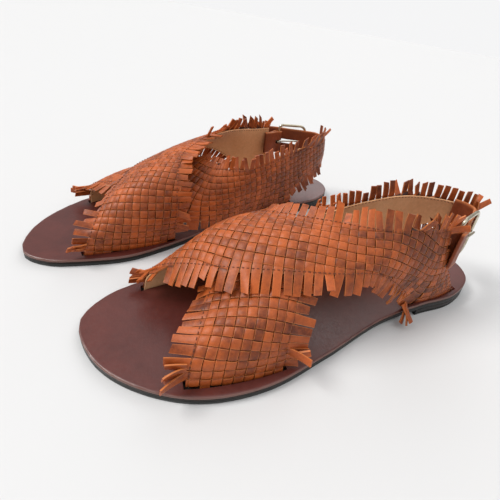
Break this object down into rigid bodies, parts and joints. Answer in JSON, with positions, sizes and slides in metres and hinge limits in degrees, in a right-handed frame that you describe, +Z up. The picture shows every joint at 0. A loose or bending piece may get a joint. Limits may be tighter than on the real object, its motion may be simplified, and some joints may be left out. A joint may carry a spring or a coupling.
{
  "type": "plaited leather sandals",
  "caption": "Pair of flat leather sandals with plaited criss-cross bands, fringed edges and a buckled heel strap.",
  "frame": {"origin": "on the floor under the middle of the pair's bounding box", "axes": "+Z up, toes towards -Y, left shoe at +X and right shoe at -X"},
  "size_m": [0.218, 0.287, 0.0658],
  "materials": {
    "footbed": "smooth semi-gloss, burnished edge",
    "midsole": "fibre board, edge dyed near-black",
    "outsole": "matt near-black",
    "heel": "dyed stacked edge",
    "top_piece": "matt",
    "steel": "plain",
    "plait": "plaited strips, slight gloss",
    "lining": "pale suede",
    "thread": "waxed thread",
    "strap": "smooth, slight gloss",
    "wire": "pale polished nickel"
  },
  "bodies": {
    "root": {"left_footbed": "footbed", "left_midsole": "midsole", "left_shank": "steel", "left_outsole": "outsole", "left_heel_lift": "heel", "left_heel_top_piece": "top_piece", "left_heel_nail_1": "steel", "left_heel_nail_2": "steel", "left_heel_nail_3": "steel", "left_over_band": "plait", "left_over_band_lining": "lining", "left_under_band": "plait", "left_under_band_lining": "lining", "left_over_band_front_stitching": "thread", "left_over_band_rear_stitching": "thread", "left_under_band_front_stitching": "thread", "left_under_band_rear_stitching": "thread", "left_heel_strap": "strap", "left_buckle_tab": "strap"},
    "right_shoe": {"right_footbed": "footbed", "right_midsole": "midsole", "right_shank": "steel", "right_outsole": "outsole", "right_heel_lift": "heel", "right_heel_top_piece": "top_piece", "right_heel_nail_1": "steel", "right_heel_nail_2": "steel", "right_heel_nail_3": "steel", "right_over_band": "plait", "right_over_band_lining": "lining", "right_under_band": "plait", "right_under_band_lining": "lining", "right_over_band_front_stitching": "thread", "right_over_band_rear_stitching": "thread", "right_under_band_front_stitching": "thread", "right_under_band_rear_stitching": "thread", "right_heel_strap": "strap", "right_buckle_tab": "strap"},
    "left_buckle_frame": {"left_buckle_frame": "wire"},
    "left_buckle_prong": {"left_buckle_prong": "wire"},
    "right_buckle_frame": {"right_buckle_frame": "wire"},
    "right_buckle_prong": {"right_buckle_prong": "wire"}
  },
  "joints": [
    {"name": "right_shoe_lift", "type": "slide", "parent": "root", "child": "right_shoe", "axis": [0, 0, 1], "range_m": [0, 0.1]},
    {"name": "left_buckle_frame_swing", "type": "hinge", "parent": "root", "child": "left_buckle_frame", "pos_m": [0.08057, 0.0996, 0.049], "axis": [0, 0, -1], "range_deg": [0, 40]},
    {"name": "left_buckle_prong_swing", "type": "hinge", "parent": "left_buckle_frame", "child": "left_buckle_prong", "pos_m": [0.08057, 0.0996, 0.049], "axis": [0, 0, -1], "range_deg": [0, 40]},
    {"name": "right_buckle_frame_swing", "type": "hinge", "parent": "right_shoe", "child": "right_buckle_frame", "pos_m": [-0.09956, 0.0504, 0.049], "axis": [0, 0, 1], "range_deg": [0, 40]},
    {"name": "right_buckle_prong_swing", "type": "hinge", "parent": "right_buckle_frame", "child": "right_buckle_prong", "pos_m": [-0.09956, 0.0504, 0.049], "axis": [0, 0, 1], "range_deg": [0, 40]}
  ]
}
